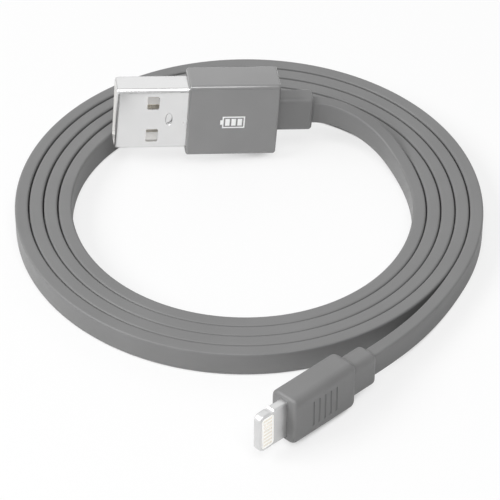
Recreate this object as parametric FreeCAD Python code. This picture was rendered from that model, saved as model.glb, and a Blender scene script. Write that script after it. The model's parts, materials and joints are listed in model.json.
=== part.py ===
import FreeCAD, Part
import math
import os
from FreeCAD import Placement, Rotation, Vector

# A flat charging cable coiled on its edge, with a USB-A plug at its inner end and a
# slim reversible plug with eight contacts a side at its outer end.
# Millimetres. The origin is the coil's centre on the table, +Z is up, and +X runs
# from the USB plug's tip towards its cable.

Z_AXIS = Vector(0, 0, 1)
FIT = 0.02               # clearance between neighbouring moulded or pressed pieces

# Ribbon cable, standing on its edge
CABLE_W = 4.3
CABLE_T = 2.1
CABLE_EDGE_R = 0.45
LUMEN_W = 3.78
LUMEN_T = 1.0

# Wires, from top to bottom: height above the ribbon's middle, insulation and core radius
WIRES = {
    "red": (1.40, 0.47, 0.25),
    "white": (0.45, 0.35, 0.20),
    "green": (-0.45, 0.35, 0.20),
    "black": (-1.40, 0.47, 0.25),
}

# Coil of half-turn arcs: outer radius of the first turn and step to the next one
FAR_RADIUS = 38.4
FAR_STEP = 2.55
NEAR_RADIUS = 39.35
NEAR_STEP = 2.2
FULL_TURNS = 4
DEVICE_EXIT = -31.5      # position angle where the small plug's lead leaves the coil
USB_EXIT = -5.0          # position angle where the USB plug's lead leaves the coil

# Leads from the coil to the plugs, each bending at three hinges
DEVICE_LEAD_R = 76.8
DEVICE_LEAD_TURN = 20.8
DEVICE_BOOT_Z = 3.92
DEVICE_PITCH = 4.0
DEVICE_LEAN = 3.6
USB_BOOT_X = 13.55
USB_BOOT_Y = 18.27
USB_BOOT_Z = 7.62
USB_PITCH = 4.6
USB_LEAN = 3.0
LEAD_SEGMENTS = 3
KNUCKLE_R = 1.0
HINGE_GAP = 0.12
TWIST_GAP = 0.1
LEAD_RUN_ON = 0.8        # how far a lead's contents are drawn past the plug's rear face

# USB-A plug; local +X points to the tip, +Y out of the marked face, x = 0 at the overmold's front
USB_SHELL_W = 12.0
USB_SHELL_T = 4.5
USB_SHELL_R = 0.75
USB_SHELL_WALL = 0.3
USB_SHELL_OUT = 12.0
USB_SHELL_IN = 6.5
USB_WINDOW = (2.0, 2.5)
USB_WINDOW_FROM_TIP = 6.16
USB_WINDOW_Z = 3.25
USB_WINDOW_R = 0.3
USB_OVAL = (3.1, 0.65, 0.55, 0.1)        # middle, half straight length, end radius, depth
USB_TONGUE_TIP = 11.2
USB_TONGUE_REAR = -6.0
USB_TONGUE_BLOCK_END = -0.5
USB_TONGUE_R = 0.4
USB_BODY = (15.3, 6.3, 14.0)
USB_BODY_R = (0.7, 0.45, 0.45)           # along its length, round its rear, round its front
USB_BOOT = (6.1, 3.6, 6.4)
USB_BOOT_R = (0.8, 0.6)                  # along its length, round its rear
USB_MOLD = (3.8, 11.3)
USB_STRIP = -12.6                        # where the jacket ends inside the plug
USB_WIRES_FANNED = -9.8
USB_WIRE_TIPS = -7.9
USB_WIRE_Y = 0.33
USB_CONTACT_T = 0.26
USB_CONTACT_PROUD = 0.06
USB_POWER_CONTACT = (3.5, 10.6, 1.2)     # height, tip end, width
USB_DATA_CONTACT = (1.0, 9.6, 1.0)
USB_CONTACT_REAR = -8.4

# Small plug, in the same kind of local frame
BLADE = (5.7, 1.5, 6.7)
BLADE_TIP_R = 1.0
BLADE_EDGE_R = 0.35
BLADE_NOTCH = (0.6, 3.15, 0.3)           # radius, place along the blade, how far outside its edge
BLADE_WINDOW = (2.5, 5.6)
BLADE_WINDOW_R = 0.5
BLADE_WINDOW_REAR = 2.8
BLADE_SLOT = (0.9, 5.7)
BLADE_ROOT = -0.6                        # front of the bracket inside the body
BLADE_BRACKET = (3.0, 3.0, 7.4)
DEVICE_BODY = (13.6, 5.2, 8.5)
DEVICE_BODY_R = (1.4, 1.2, 0.6)
DEVICE_BOOT = (5.0, 4.0, 6.0)
DEVICE_BOOT_R = (1.2, 0.8)
DEVICE_MOLD = (3.4, 7.0)
DEVICE_STRIP = -12.2                     # where the jacket ends inside the plug
DEVICE_WIRES_FANNED = -10.1
DEVICE_WIRE_TIPS = -8.4
DEVICE_PAD_HEIGHTS = (1.95, 0.65, -0.65, -1.95)
CONTACTS_PER_SIDE = 8
CONTACT_PITCH = 0.65
CONTACT_PAD = (1.8, 0.4)
CONTACT_T = 0.08
CONTACT_LEG_W = 0.25
BOARD = (11.0, 0.5, 5.2)
BOARD_TIP = 1.0
BOARD_WIRE_LIFT = 0.27                   # wire cores above the board's face
CONTACT_FOOT = 0.9                       # overlap of each contact with the board
CONTROLLER_CHIP = (-5.3, 2.2, 2.6, 0.6, 0.6, 1)      # x, length, width, height, z, side
POWER_SWITCH_CHIP = (-5.8, 1.8, 1.8, 0.5, -0.8, -1)
CAPACITOR = (0.4, 0.8, 0.4, -1.6, 1)
CAPACITOR_PLACES = (-6.2, -5.3, -4.4)
RESISTOR = (0.4, 0.8, 0.3, 1.3, -1)
RESISTOR_PLACES = (-6.3, -5.4, -4.5)
SHIELD = (6.9, 3.6, 7.4)
SHIELD_WALL = 0.15
SHIELD_REAR = -10.5
SHIELD_OPENING = (-0.8, 1.1, 2.6)        # lowest and highest y, half height
GRIP_GROOVES = 5
GRIP_MIDDLE = -6.4
GRIP_PITCH = 1.25
GRIP_GROOVE = (0.45, 0.15, 4.6)

# Both plugs
BOOT_NECK = (0.8, 0.3)                   # length, how far it is set in from the sleeve
BOOT_FLANGE = 0.6
INNER_R = 0.5                            # edges of the hidden parts
SOLDER_R = 0.48


# ---------- general shapes ----------

def rounded_outline(across, tall, radius, middle=Vector(0, 0, 0)):
    """Closed wire: a rounded rectangle in a YZ plane, centred on the given point."""
    dy = across / 2 - radius
    dz = tall / 2 - radius

    def rim(centre_y, centre_z, degrees):
        angle = math.radians(degrees)
        offset = Vector(0, centre_y + radius * math.cos(angle), centre_z + radius * math.sin(angle))
        return middle + offset

    edges = []
    last = rim(dy, -dz, 360)
    for quarter, (centre_y, centre_z) in enumerate([(dy, dz), (-dy, dz), (-dy, -dz), (dy, -dz)]):
        start, halfway, end = [rim(centre_y, centre_z, 90 * quarter + step) for step in (0, 45, 90)]
        if (start - last).Length > 1e-6:
            edges.append(Part.makeLine(last, start))
        edges.append(Part.Arc(start, halfway, end).toShape())
        last = end
    return Part.Wire(edges)


def circle_outline(radius, middle):
    """Closed wire: a circle in a YZ plane."""
    return Part.Wire(Part.makeCircle(radius, middle, Vector(1, 0, 0)))


def bar(start_x, end_x, across, tall, radius, y=0.0, z=0.0):
    """Solid rounded bar along X."""
    outline = rounded_outline(across, tall, radius, Vector(start_x, y, z))
    return Part.Face(outline).extrude(Vector(end_x - start_x, 0, 0))


def block(start_x, end_x, low_y, high_y, low_z, high_z):
    """Solid box from its lowest and highest corners."""
    size = (end_x - start_x, high_y - low_y, high_z - low_z)
    return Part.makeBox(*size, Vector(start_x, low_y, low_z))


def sweep(spine, outline):
    """Solid swept along a spine with its section kept upright."""
    pipe = Part.BRepOffsetAPI.MakePipeShell(spine)
    pipe.setBiNormalMode(Z_AXIS)
    pipe.add(outline)
    pipe.build()
    pipe.makeSolid()
    return pipe.shape()


def placed(shape, position, heading):
    """Copy of a shape drawn at the origin, turned to a heading and moved to a position."""
    copy = shape.copy()
    copy.Placement = Placement(position, Rotation(Z_AXIS, heading))
    return copy


def cut_all(shape, tools):
    """Shape less every tool."""
    for tool in tools:
        shape = shape.cut(tool)
    return shape


def on_circle(centre_y, radius, degrees):
    """Point at the ribbon's mid height on a plan circle centred on the Y axis."""
    angle = math.radians(degrees)
    return Vector(radius * math.cos(angle), centre_y + radius * math.sin(angle), CABLE_W / 2)


# ---------- the ribbon's contents ----------

def ribbon_outline():
    return rounded_outline(CABLE_T, CABLE_W, CABLE_EDGE_R)


def lumen_outline():
    return rounded_outline(LUMEN_T, LUMEN_W, LUMEN_T / 2)


def ribbon_pieces(spine, position, heading):
    """Jacket, insulations and cores swept along one spine that starts at a position and heading."""
    def along(outline):
        return sweep(spine, placed(outline, position, heading))

    pieces = {"jacket": along(ribbon_outline()).cut(along(lumen_outline()))}
    for colour, (height, insulation_r, core_r) in WIRES.items():
        middle = Vector(0, 0, height)
        bore = along(circle_outline(core_r + FIT / 2, middle))
        pieces[colour + "_insulation"] = along(circle_outline(insulation_r, middle)).cut(bore)
        pieces[colour + "_core"] = along(circle_outline(core_r, middle))
    return pieces


# ---------- the coil ----------

def coil_arcs():
    """Plan arcs as (centre y, centreline radius, start angle, end angle), from outside in."""
    arcs = []
    for turn in range(FULL_TURNS + 1):
        far = FAR_RADIUS - FAR_STEP * turn
        near = NEAR_RADIUS - NEAR_STEP * turn
        next_near = near - NEAR_STEP
        arcs.append([(far - near) / 2, (far + near - CABLE_T) / 2, -90.0, 90.0])
        arcs.append([(far - next_near) / 2, (far + next_near - CABLE_T) / 2, 90.0, 270.0])
    arcs.pop()
    arcs[0][2] = DEVICE_EXIT
    arcs[-1][3] = USB_EXIT
    return arcs


def coil_spine(arcs):
    """Wire along the coil, run on at both ends by a little more than the hinge knuckle."""
    run_on = [math.degrees(1.5 * KNUCKLE_R / arcs[end][1]) for end in (0, -1)]
    edges = []
    for index, (centre_y, radius, start, end) in enumerate(arcs):
        first = start - (run_on[0] if index == 0 else 0)
        last = end + (run_on[1] if index == len(arcs) - 1 else 0)
        points = [on_circle(centre_y, radius, first + (last - first) * part) for part in (0, 0.5, 1)]
        edges.append(Part.Arc(*points).toShape())
    return Part.Wire(edges), first_pose(arcs[0], arcs[0][2] - run_on[0])


def first_pose(arc, angle):
    """Position and heading on an arc, running anticlockwise."""
    return on_circle(arc[0], arc[1], angle), angle + 90


def hinge_post(radius, position, heading):
    """Tall cylinder on a hinge's axis, with its seam on the side away from the heading."""
    post = Part.makeCylinder(radius, 6 * CABLE_W, Vector(0, 0, -3 * CABLE_W))
    return placed(post, position, heading + 180)


def knuckle_cutter(position, heading):
    """Everything ahead of a hinge plane apart from the knuckle's cylinder."""
    reach = 2.5 * KNUCKLE_R
    half_width = CABLE_T / 2 + 0.1
    ahead = block(0, reach, -half_width, half_width, -CABLE_W, CABLE_W)
    return placed(ahead, position, heading).cut(hinge_post(KNUCKLE_R, position, heading))


def coil_pieces(arcs):
    """The coil's pieces, each ending in a round knuckle at both leads."""
    spine, (position, heading) = coil_spine(arcs)
    device_hinge = knuckle_cutter(on_circle(*arcs[0][:3]), DEVICE_EXIT - 90)
    usb_hinge = knuckle_cutter(on_circle(*arcs[-1][:2], USB_EXIT), USB_EXIT + 90)
    pieces = ribbon_pieces(spine, position, heading)
    return {name: cut_all(piece, [device_hinge, usb_hinge]) for name, piece in pieces.items()}


# ---------- the leads ----------

class Lead:
    """Centreline from the coil to a plug: plan arcs, and a rise that starts and ends smoothly."""

    def __init__(self, start, heading, bends, end_z, pitch):
        self.start = start
        self.heading = heading
        self.bends = bends               # (radius, turn in degrees, + to the left)
        self.length = sum(radius * math.radians(abs(turn)) for radius, turn in bends)
        self.rise = end_z - start.z
        self.end_slope = math.tan(math.radians(pitch))

    def height(self, distance):
        part = distance / self.length
        slope_rise = self.end_slope * self.length
        cubic = 4 * self.rise - slope_rise
        quartic = slope_rise - 3 * self.rise
        return self.start.z + cubic * part ** 3 + quartic * part ** 4

    def pose(self, distance):
        """Position and heading at a distance from the coil."""
        point = Vector(self.start)
        heading = self.heading
        left = distance
        for radius, turn in self.bends:
            arc_length = radius * math.radians(abs(turn))
            step = min(left, arc_length)
            side = math.copysign(90, turn)
            swing = math.degrees(step / radius) * math.copysign(1, turn)
            centre = point + radius * flat_direction(heading + side)
            heading += swing
            point = centre - radius * flat_direction(heading + side)
            left -= step
        point.z = self.height(distance)
        return point, heading

    def spine(self):
        """Curve through the lead, run on a little past the plug's rear face."""
        samples = 12
        points = [self.pose(self.length * step / samples)[0] for step in range(samples + 1)]
        end_direction = flat_direction(self.pose(self.length)[1]) + Vector(0, 0, self.end_slope)
        end_direction.normalize()
        points.append(points[-1] + LEAD_RUN_ON * end_direction)
        curve = Part.BSplineCurve()
        tangents = {"InitialTangent": flat_direction(self.heading), "FinalTangent": end_direction}
        curve.interpolate(Points=points, **tangents)
        return Part.Wire(curve.toShape())

    def hinge(self, index):
        return self.pose(self.length * index / LEAD_SEGMENTS)


def flat_direction(degrees):
    angle = math.radians(degrees)
    return Vector(math.cos(angle), math.sin(angle), 0)


def make_leads(arcs):
    """The two leads, from the coil's ends to the rear faces of the plugs' boots."""
    device_start = on_circle(*arcs[0][:3])
    device_bends = [(DEVICE_LEAD_R, -DEVICE_LEAD_TURN)]
    device = Lead(device_start, DEVICE_EXIT - 90, device_bends, DEVICE_BOOT_Z, DEVICE_PITCH)

    centre_y, radius = arcs[-1][:2]
    leave = 90 - 2 * math.degrees(math.atan((centre_y + radius - USB_BOOT_Y) / USB_BOOT_X))
    tight = radius - USB_BOOT_X / math.cos(math.radians(leave))
    usb_bends = [(radius, leave - USB_EXIT), (tight, 90 - leave)]
    usb_start = on_circle(centre_y, radius, USB_EXIT)
    usb = Lead(usb_start, USB_EXIT + 90, usb_bends, USB_BOOT_Z, USB_PITCH)
    return device, usb


def segment_space(lead, index, plug_space):
    """The space one segment may fill: flat just ahead of the last knuckle, its own knuckle at its end."""
    reach = 2 * CABLE_T
    last = index == LEAD_SEGMENTS - 1
    start, start_heading = lead.hinge(index)
    end, end_heading = lead.hinge(index + 1)
    start = start + (KNUCKLE_R + HINGE_GAP) * flat_direction(start_heading)
    knuckle = hinge_post(KNUCKLE_R, end, end_heading)
    if last:
        end = end + reach * flat_direction(end_heading)
    corners = []
    for point, heading, sides in ((start, start_heading, (90, -90)), (end, end_heading, (-90, 90))):
        corners += [point + reach * flat_direction(heading + side) for side in sides]
    for corner in corners:
        corner.z = -reach
    space = Part.Face(Part.makePolygon(corners + corners[:1])).extrude(Vector(0, 0, 5 * reach))
    if last:
        return space.cut(plug_space)
    return space.fuse(knuckle).removeSplitter()


def lead_nodes(lead, prefix, plug_placement, rear_x):
    """Jacket, insulation and core nodes of each lead segment."""
    reach = 4 * CABLE_W
    plug_space = block(rear_x - TWIST_GAP, rear_x + reach, -reach, reach, -reach, reach)
    plug_space.Placement = plug_placement
    pieces = ribbon_pieces(lead.spine(), *lead.pose(0))
    nodes = {}
    for index in range(LEAD_SEGMENTS):
        space = segment_space(lead, index, plug_space)
        cut = {name: piece.common(space) for name, piece in pieces.items()}
        number = str(index + 1)
        nodes[prefix + "_lead_jacket_" + number] = cut["jacket"]
        for kind in ("insulation", "core"):
            group = [cut[colour + "_" + kind] for colour in WIRES]
            nodes[prefix + "_lead_" + kind + "_" + number] = Part.makeCompound(group)
    return nodes


# ---------- what both plugs share ----------

def plug_placement(boot_rear, heading, pitch, lean, rear_x):
    """Placement of a plug's local frame from the centre of its boot's rear face."""
    turn = Rotation(Z_AXIS, heading)
    tip_up = Rotation(Vector(0, 1, 0), -pitch)
    top_back = Rotation(Vector(1, 0, 0), lean)
    rotation = turn.multiply(tip_up).multiply(top_back)
    return Placement(boot_rear - rotation.multVec(Vector(rear_x, 0, 0)), rotation)


def soft_block(size, radii):
    """Moulded body behind x = 0, rounded along its length, round its rear and round its front."""
    length, across, tall = size
    along_r, rear_r, front_r = radii
    body = round_rim(bar(-length, 0, across, tall, along_r), -length, rear_r)
    return round_rim(body, 0, front_r)


def round_rim(body, x, radius):
    """Body with the rim of its end face at x rounded."""
    rim = [edge for edge in body.Edges
           if edge.BoundBox.XLength < 0.01 and abs(edge.CenterOfMass.x - x) < 0.01]
    return body.makeFillet(radius, rim)


def boot_solid(body_length, size, radii):
    """Strain relief: a rounded sleeve with a neck and a flange held inside the overmold."""
    length, across, tall = size
    along_r, rear_r = radii
    neck_length, inset = BOOT_NECK
    rear = -body_length - length
    neck_end = neck_length - body_length
    sleeve = round_rim(bar(rear, -body_length, across, tall, along_r), rear, rear_r)
    neck = bar(-body_length, neck_end, across - 2 * inset, tall - 2 * inset, along_r - inset)
    flange = bar(neck_end, neck_end + BOOT_FLANGE, across, tall, along_r)
    return sleeve.fuse([neck, flange]).removeSplitter()


def jacket_end_envelope(rear, front):
    return bar(rear, front, CABLE_T, CABLE_W, CABLE_EDGE_R)


def jacket_end(rear, front):
    """The ribbon's jacket where it runs into the plug."""
    return jacket_end_envelope(rear, front).cut(bar(rear, front, LUMEN_T, LUMEN_W, LUMEN_T / 2))


def wire_tail(path, start_z, end_z):
    """Centreline of one wire: straight through the jacket, an easy S, then straight to its joint."""
    rear, strip, fan_end, tip, end_y = path
    points = [
        Vector(rear, 0, start_z),
        Vector(strip, 0, start_z),
        Vector((strip + fan_end) / 2, end_y / 2, (start_z + end_z) / 2),
        Vector(fan_end, end_y, end_z),
        Vector(tip, end_y, end_z),
    ]
    forward = Vector(1, 0, 0)
    curve = Part.BSplineCurve()
    curve.interpolate(Points=points[1:4], InitialTangent=forward, FinalTangent=forward)
    ends = [Part.makeLine(points[0], points[1]), Part.makeLine(points[3], points[4])]
    return ends[0], curve.toShape(), ends[1]


def wire_tails(path, end_heights):
    """Covered, insulation and core solids of the four wires in a plug."""
    covers = []
    insulation = []
    cores = []
    for (start_z, insulation_r, core_r), end_z in zip(WIRES.values(), end_heights):
        straight, curve, bare = wire_tail(path, start_z, end_z)
        start = Vector(path[0], 0, start_z)
        covered = Part.Wire([straight, curve])
        whole = Part.Wire([straight, curve, bare])
        bore = sweep(covered, circle_outline(core_r + FIT / 2, start))
        cover = sweep(covered, circle_outline(insulation_r, start))
        covers.append(cover)
        insulation.append(cover.cut(bore))
        cores.append(sweep(whole, circle_outline(core_r, start)))
    return covers, insulation, cores


def solder_joints(x, y, heights, neighbours):
    """Rounded solder over the ends of the cores."""
    balls = [Part.makeSphere(SOLDER_R, Vector(x, y, height)) for height in heights]
    return [cut_all(ball, neighbours) for ball in balls]


# ---------- USB plug ----------

def usb_contact(contact, side):
    """One flat contact strip lying in the tongue's face."""
    height, tip_x, width = contact
    low_z = side * height - width / 2
    low_y = USB_CONTACT_PROUD - USB_CONTACT_T
    return block(USB_CONTACT_REAR, tip_x, low_y, USB_CONTACT_PROUD, low_z, low_z + width)


def usb_shell():
    """Drawn steel shell with two windows in each broad face and a pressed oval behind them."""
    outer = bar(-USB_SHELL_IN, USB_SHELL_OUT, USB_SHELL_T, USB_SHELL_W, USB_SHELL_R)
    inner = bar(-USB_SHELL_IN, USB_SHELL_OUT, USB_SHELL_T - 2 * USB_SHELL_WALL,
                USB_SHELL_W - 2 * USB_SHELL_WALL, USB_SHELL_R - USB_SHELL_WALL)
    shell = outer.cut(inner)
    middle = USB_SHELL_OUT - USB_WINDOW_FROM_TIP
    long, tall = USB_WINDOW
    for side in (-1, 1):
        z = side * USB_WINDOW_Z
        window = block(middle - long / 2, middle + long / 2, -USB_SHELL_T, USB_SHELL_T,
                       z - tall / 2, z + tall / 2)
        corners = [edge for edge in window.Edges if edge.BoundBox.YLength > 1]
        shell = shell.cut(window.makeFillet(USB_WINDOW_R, corners))
    return shell.cut(pressed_oval())


def pressed_oval():
    """Shallow upright oval impression in the shell's marked face."""
    x, half_length, radius, depth = USB_OVAL
    middle = Vector(x, USB_SHELL_T / 2 - depth, 0)
    flat = block(-radius, radius, 0, 1, -half_length, half_length)
    ends = [Part.makeCylinder(radius, 1, Vector(0, 0, z), Vector(0, 1, 0))
            for z in (-half_length, half_length)]
    oval = flat.fuse(ends).removeSplitter()
    oval.translate(middle)
    return oval


def usb_tongue(contacts):
    """Insulator: a tongue on the shell's far side and a full block behind it."""
    half_y = USB_SHELL_T / 2 - USB_SHELL_WALL - FIT
    half_z = USB_SHELL_W / 2 - USB_SHELL_WALL - FIT
    tongue = block(USB_TONGUE_REAR, USB_TONGUE_TIP, -half_y, 0, -half_z, half_z)
    rear = block(USB_TONGUE_REAR, USB_TONGUE_BLOCK_END, -half_y, half_y, -half_z, half_z)
    body = tongue.fuse(rear).removeSplitter()
    lengthwise = [edge for edge in body.Edges
                  if edge.BoundBox.XLength > 1 and abs(edge.CenterOfMass.z) > half_z - 0.1
                  and abs(edge.CenterOfMass.y) > 0.1]
    return cut_all(body.makeFillet(USB_TONGUE_R, lengthwise), contacts)


def usb_nodes(placement):
    """Every piece of the USB plug, moved from the plug's frame to the part's frame."""
    body_length = USB_BODY[0]
    rear = -body_length - USB_BOOT[0]
    power = [usb_contact(USB_POWER_CONTACT, side) for side in (1, -1)]
    data = [usb_contact(USB_DATA_CONTACT, side) for side in (1, -1)]
    heights = (USB_POWER_CONTACT[0], USB_DATA_CONTACT[0], -USB_DATA_CONTACT[0], -USB_POWER_CONTACT[0])
    path = (rear, USB_STRIP, USB_WIRES_FANNED, USB_WIRE_TIPS, USB_WIRE_Y)
    covers, insulation, cores = wire_tails(path, heights)
    solder = solder_joints(USB_WIRE_TIPS - 0.3, USB_WIRE_Y, heights, power + data + cores)

    shell_envelope = bar(-USB_SHELL_IN - FIT, 1, USB_SHELL_T, USB_SHELL_W, USB_SHELL_R)
    mold_block = bar(USB_STRIP, USB_TONGUE_REAR - FIT, *USB_MOLD, INNER_R)
    boot = boot_solid(body_length, USB_BOOT, USB_BOOT_R)
    cable = jacket_end_envelope(rear, USB_STRIP)
    inside = power + data + covers + cores + solder + [cable]
    overmold = soft_block(USB_BODY, USB_BODY_R)

    nodes = {
        "usb_shell": usb_shell(),
        "usb_tongue": usb_tongue(power + data),
        "usb_power_contacts": Part.makeCompound(power),
        "usb_data_contacts": Part.makeCompound(data),
        "usb_solder_joints": Part.makeCompound(solder),
        "usb_inner_mold": cut_all(mold_block, inside),
        "usb_overmold": cut_all(overmold, [shell_envelope, mold_block, boot, cable]),
        "usb_boot": boot.cut(cable),
        "usb_jacket_end": jacket_end(rear, USB_STRIP),
        "usb_wire_insulation": Part.makeCompound(insulation),
        "usb_wire_cores": Part.makeCompound(cores),
    }
    return moved(nodes, placement)


def moved(nodes, placement):
    for shape in nodes.values():
        shape.Placement = placement
    return nodes


# ---------- small plug ----------

def blade_frame():
    """Steel blade with rounded tip, side latch notches and a wider bracket inside the body."""
    length, across, tall = BLADE
    bracket_length, bracket_across, bracket_tall = BLADE_BRACKET
    radius, notch_x, outside = BLADE_NOTCH
    blade = bar(-1, length, across, tall, BLADE_EDGE_R)
    profile = block(-1, length, -across, across, -tall / 2, tall / 2)
    tip_corners = [edge for edge in profile.Edges
                   if edge.BoundBox.YLength > across and edge.BoundBox.XMin > length - 0.01]
    blade = blade.common(profile.makeFillet(BLADE_TIP_R, tip_corners))
    for side in (-1, 1):
        middle = Vector(notch_x, -across, side * (tall / 2 + outside))
        blade = blade.cut(Part.makeCylinder(radius, 2 * across, middle, Vector(0, 1, 0)))
    bracket = bar(BLADE_ROOT - bracket_length, BLADE_ROOT, bracket_across, bracket_tall, INNER_R)
    frame = blade.fuse(bracket).removeSplitter()
    return frame.cut(blade_slot()).cut(blade_window())


def blade_slot():
    """Slot through the frame for the board and the contact carrier."""
    across, tall = BLADE_SLOT
    rear = BLADE_ROOT - BLADE_BRACKET[0] - 1
    front = BLADE_WINDOW_REAR + BLADE_WINDOW[0]
    return block(rear, front, -across / 2, across / 2, -tall / 2, tall / 2)


def blade_window():
    """Window through both faces of the blade."""
    length, tall = BLADE_WINDOW
    window = block(BLADE_WINDOW_REAR, BLADE_WINDOW_REAR + length, -3, 3, -tall / 2, tall / 2)
    corners = [edge for edge in window.Edges if edge.BoundBox.YLength > 1]
    return window.makeFillet(BLADE_WINDOW_R, corners)


def contact(index, side):
    """One contact: a pad in the blade's face, and a leg back to the board's surface."""
    length, width = CONTACT_PAD
    z = (index - (CONTACTS_PER_SIDE - 1) / 2) * CONTACT_PITCH
    face = BLADE[1] / 2
    board_face = BOARD[1] / 2
    rear = BLADE_WINDOW_REAR + (BLADE_WINDOW[0] - length) / 2
    bend = rear + CONTACT_LEG_W
    steps = [
        (rear, rear + length, face - CONTACT_T, face, width),
        (rear, bend, board_face, face, CONTACT_LEG_W),
        (BOARD_TIP - CONTACT_FOOT, bend, board_face, board_face + CONTACT_T, CONTACT_LEG_W),
    ]
    solids = []
    for start, end, low, high, wide in steps:
        ends = sorted((side * low, side * high))
        solids.append(block(start, end, *ends, z - wide / 2, z + wide / 2))
    return solids[0].fuse(solids[1:]).removeSplitter()


def contact_carrier(contacts):
    """Moulded insert that fills the blade's window and slot around the contacts."""
    length, tall = BLADE_WINDOW
    insert = blade_window().common(block(0, BLADE[0], -BLADE[1] / 2, BLADE[1] / 2, -tall, tall))
    across, slot_tall = BLADE_SLOT
    tail = block(BOARD_TIP, BLADE_WINDOW_REAR + length, FIT - across / 2, across / 2 - FIT,
                 FIT - slot_tall / 2, slot_tall / 2 - FIT)
    return cut_all(insert.fuse(tail).removeSplitter(), contacts)


def board_part(x, length, width, height, z, side):
    """A component standing on one side of the board."""
    face = BOARD[1] / 2
    ends = sorted((side * face, side * (face + height)))
    return block(x - length / 2, x + length / 2, *ends, z - width / 2, z + width / 2)


def shield_half(side):
    """One pressed half of the can around the board, open towards the blade and the cable."""
    length, across, tall = SHIELD
    front = SHIELD_REAR + length
    outer = bar(SHIELD_REAR, front, across, tall, INNER_R)
    inner = bar(SHIELD_REAR + SHIELD_WALL, front, across - 2 * SHIELD_WALL,
                tall - 2 * SHIELD_WALL, INNER_R - SHIELD_WALL)
    low_y, high_y, half_tall = SHIELD_OPENING
    cable_opening = block(SHIELD_REAR - 1, SHIELD_REAR + 1, low_y, high_y, -half_tall, half_tall)
    low, high = sorted((side * FIT / 2, side * across))
    keep = block(SHIELD_REAR - 1, front + 1, low, high, -tall, tall)
    return outer.cut(inner).cut(cable_opening).common(keep)


def grip_grooves():
    """Shallow upright grooves in the small plug's marked face."""
    width, depth, tall = GRIP_GROOVE
    face = DEVICE_BODY[1] / 2
    grooves = []
    for index in range(GRIP_GROOVES):
        x = GRIP_MIDDLE + (index - (GRIP_GROOVES - 1) / 2) * GRIP_PITCH
        grooves.append(block(x - width / 2, x + width / 2, face - depth, face + 1, -tall / 2, tall / 2))
    return grooves


def device_nodes(placement):
    """Every piece of the small plug, moved from the plug's frame to the part's frame."""
    body_length = DEVICE_BODY[0]
    rear = -body_length - DEVICE_BOOT[0]
    front = [contact(index, 1) for index in range(CONTACTS_PER_SIDE)]
    back = [contact(index, -1) for index in range(CONTACTS_PER_SIDE)]
    board_length, board_t, board_w = BOARD
    board = block(BOARD_TIP - board_length, BOARD_TIP - FIT, -board_t / 2, board_t / 2,
                  -board_w / 2, board_w / 2)
    wire_y = board_t / 2 + BOARD_WIRE_LIFT
    path = (rear, DEVICE_STRIP, DEVICE_WIRES_FANNED, DEVICE_WIRE_TIPS, wire_y)
    covers, insulation, cores = wire_tails(path, DEVICE_PAD_HEIGHTS)
    solder = solder_joints(DEVICE_WIRE_TIPS - 0.5, wire_y, DEVICE_PAD_HEIGHTS, [board] + cores)

    bracket_envelope = bar(BLADE_ROOT - BLADE_BRACKET[0], BLADE_ROOT, *BLADE_BRACKET[1:], INNER_R)
    blade_envelope = bar(-1, 1, BLADE[1], BLADE[2], BLADE_EDGE_R)
    shield_envelope = bar(SHIELD_REAR, SHIELD_REAR + SHIELD[0], *SHIELD[1:], INNER_R)
    mold_block = bar(DEVICE_STRIP, SHIELD_REAR, *DEVICE_MOLD, INNER_R)
    boot = boot_solid(body_length, DEVICE_BOOT, DEVICE_BOOT_R)
    cable = jacket_end_envelope(rear, DEVICE_STRIP)
    overmold = soft_block(DEVICE_BODY, DEVICE_BODY_R)
    inside = [bracket_envelope, blade_envelope, shield_envelope, mold_block, boot, cable]

    nodes = {
        "plug_blade_frame": blade_frame(),
        "contact_carrier": contact_carrier(front + back),
        "front_contacts": Part.makeCompound(front),
        "back_contacts": Part.makeCompound(back),
        "circuit_board": board,
        "controller_chip": board_part(*CONTROLLER_CHIP),
        "power_switch_chip": board_part(*POWER_SWITCH_CHIP),
        "board_capacitors": Part.makeCompound([board_part(x, *CAPACITOR) for x in CAPACITOR_PLACES]),
        "board_resistors": Part.makeCompound([board_part(x, *RESISTOR) for x in RESISTOR_PLACES]),
        "front_shield": shield_half(1),
        "back_shield": shield_half(-1),
        "device_solder_joints": Part.makeCompound(solder),
        "device_inner_mold": cut_all(mold_block, covers + cores + [cable]),
        "device_overmold": cut_all(overmold, inside + grip_grooves()),
        "device_boot": boot.cut(cable),
        "device_jacket_end": jacket_end(rear, DEVICE_STRIP),
        "device_wire_insulation": Part.makeCompound(insulation),
        "device_wire_cores": Part.makeCompound(cores),
    }
    return moved(nodes, placement)


# ---------- the whole cable ----------

def build():
    """All nodes by name."""
    arcs = coil_arcs()
    device_lead, usb_lead = make_leads(arcs)
    device_rear = -DEVICE_BODY[0] - DEVICE_BOOT[0]
    usb_rear = -USB_BODY[0] - USB_BOOT[0]
    device_end, device_heading = device_lead.pose(device_lead.length)
    usb_end, usb_heading = usb_lead.pose(usb_lead.length)
    device_place = plug_placement(device_end, device_heading, DEVICE_PITCH, DEVICE_LEAN, device_rear)
    usb_place = plug_placement(usb_end, usb_heading, USB_PITCH, USB_LEAN, usb_rear)

    nodes = {"coil_" + name: piece for name, piece in coil_pieces(arcs).items()}
    nodes.update(lead_nodes(device_lead, "device", device_place, device_rear))
    nodes.update(lead_nodes(usb_lead, "usb", usb_place, usb_rear))
    nodes.update(device_nodes(device_place))
    nodes.update(usb_nodes(usb_place))
    return nodes


os.makedirs("parts", exist_ok=True)
for name, shape in build().items():
    shape.exportStep("parts/" + name + ".step")
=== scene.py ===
import json
import math

import bmesh
import bpy
from mathutils import Matrix, Vector


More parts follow.
